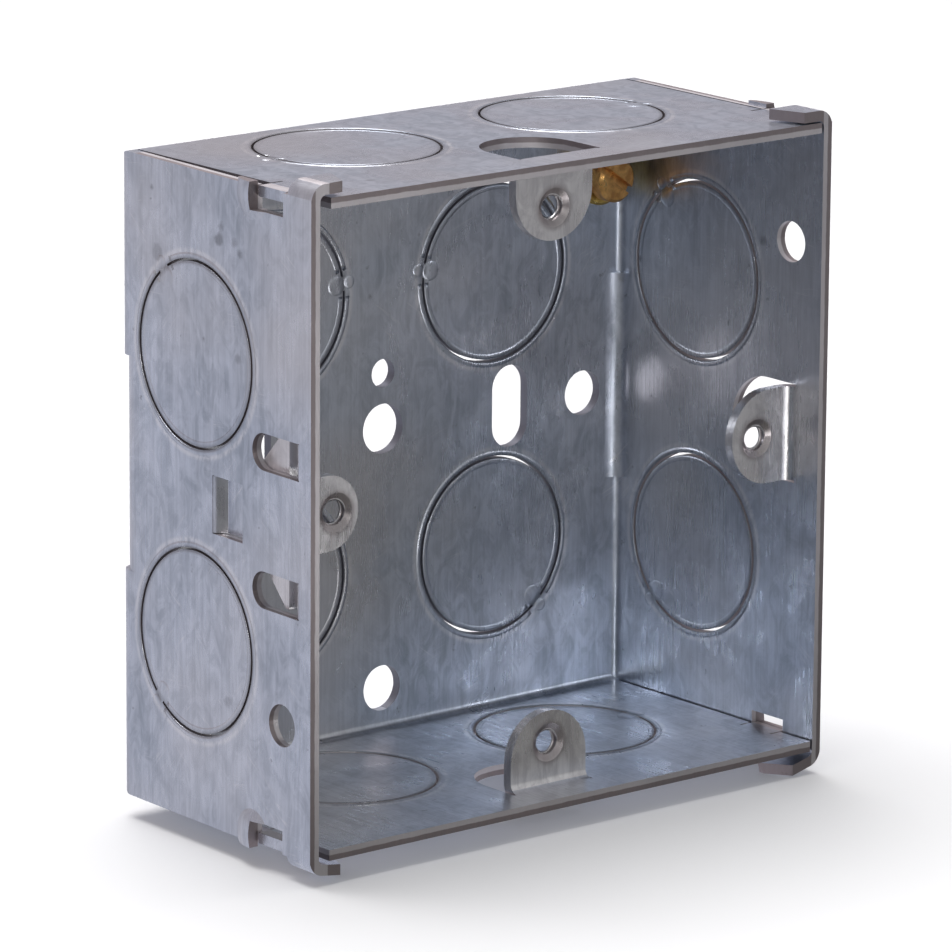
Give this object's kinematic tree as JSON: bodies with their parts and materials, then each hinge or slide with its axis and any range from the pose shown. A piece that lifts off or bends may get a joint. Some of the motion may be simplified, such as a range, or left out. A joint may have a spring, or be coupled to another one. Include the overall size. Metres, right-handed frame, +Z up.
{
  "type": "metal back box",
  "caption": "Shallow square steel flush box, open at the front, with screw lugs, sheared knockouts, folded corner tabs, a sliding lug and a brass earth terminal.",
  "frame": {"origin": "middle of the back's outer face, midway between the side fixing holes", "axes": "+X right and +Y into the wall as seen from the open front, +Z up; the box opens towards -Y"},
  "size_m": [0.0748, 0.0355, 0.0768],
  "materials": {
    "zinc_steel": "zinc coated, rolled, lightly scratched",
    "lug_steel": "zinc coated, smooth",
    "brass": "turned, dull"
  },
  "bodies": {
    "box": {"box_shell": "zinc_steel", "earth_bush": "brass", "earth_screw": "brass"},
    "lug_slider": {"adjustable_lug": "lug_steel"}
  },
  "joints": [
    {"name": "lug_slide", "type": "slide", "parent": "box", "child": "lug_slider", "axis": [0, 0, 1], "range_m": [-0.0019, 0.0007]}
  ]
}
